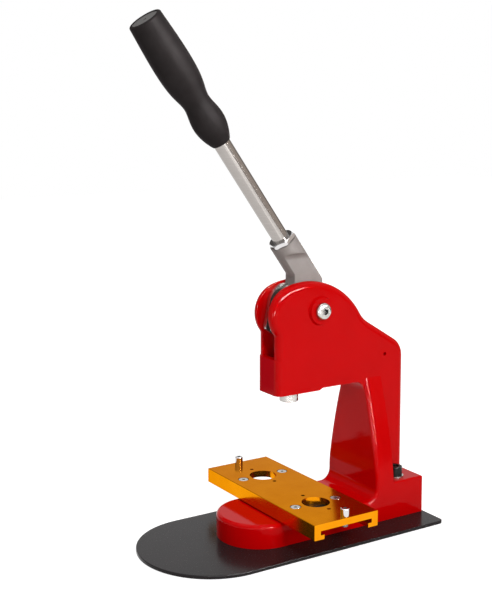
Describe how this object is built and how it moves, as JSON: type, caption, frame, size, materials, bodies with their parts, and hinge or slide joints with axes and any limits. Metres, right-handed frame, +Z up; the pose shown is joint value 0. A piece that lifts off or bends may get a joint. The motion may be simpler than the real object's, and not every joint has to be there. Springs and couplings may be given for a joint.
{
  "type": "hand lever eyelet press",
  "caption": "Bench press with a C-shaped casting on a base plate, a raised hand lever that drives a ram, and a sliding two-station die plate.",
  "frame": {"origin": "on the table under the mat, straight below the axis of the ram", "axes": "+Z up; +X along the die plate; -Y towards the user, where the handle comes down"},
  "size_m": [0.1606, 0.2618, 0.4284],
  "materials": {
    "mat_rubber": "thin matt anti-slip mat",
    "black_plate": "satin black powder coat on steel sheet",
    "red_enamel": "smooth glossy red enamel on a casting",
    "black_oxide": "black oxide on steel screws",
    "zinc_steel": "bright zinc plated steel",
    "ground_steel": "fine ground steel",
    "satin_steel": "satin turned steel bar",
    "cast_steel": "fine blasted cast steel, nickel grey",
    "hard_steel": "hardened, ground",
    "spring_steel": "drawn spring wire",
    "chrome_plate": "polished chrome",
    "brass_shim": "plain rolled brass",
    "bronze_bush": "plain sintered bronze",
    "grip_rubber": "soft black grip",
    "grip_cap_plastic": "dark grey moulded cap with a low gloss",
    "gold_anodised": "bright gold anodised aluminium"
  },
  "bodies": {
    "base": {"anti_slip_mat": "mat_rubber", "base_plate": "black_plate", "clinch_nuts": "zinc_steel", "frame": "red_enamel", "heel_bolts": "black_oxide", "heel_washers": "zinc_steel", "nose_screws": "black_oxide", "slide_rail": "black_oxide", "rail_screws": "black_oxide", "pivot_screw": "zinc_steel", "pivot_sleeve": "ground_steel", "pivot_washer": "zinc_steel", "pivot_nut": "zinc_steel", "hub_shims": "brass_shim", "ram_bush": "bronze_bush"},
    "lever": {"lever_arm": "cast_steel", "rod_locknut": "chrome_plate", "lever_rod": "satin_steel", "grip": "grip_rubber", "grip_cap": "grip_cap_plastic"},
    "ram": {"ram": "ground_steel", "ram_set_screw": "black_oxide", "ram_head": "hard_steel", "ram_head_pin": "ground_steel", "ram_spring": "spring_steel"},
    "die_slide": {"die_plate": "gold_anodised", "die_screws": "zinc_steel", "stop_screws": "chrome_plate"}
  },
  "joints": [
    {"name": "lever_swing", "type": "hinge", "parent": "base", "child": "lever", "pos_m": [0, 0.0211, 0.1876], "axis": [1, 0, 0], "range_deg": [0, 42]},
    {"name": "ram_travel", "type": "slide", "parent": "base", "child": "ram", "axis": [0, 0, -1], "range_m": [0, 0.0155], "stiffness_N_per_m": 2000, "springref_m": -0.02, "deforming": ["ram_spring"]},
    {"name": "die_slide_travel", "type": "slide", "parent": "base", "child": "die_slide", "axis": [1, 0, 0], "range_m": [-0.039, 0.039]}
  ],
  "couplings": [
    {"joint": "ram_travel", "follows": "lever_swing", "m_per_rad": 0.0211}
  ]
}
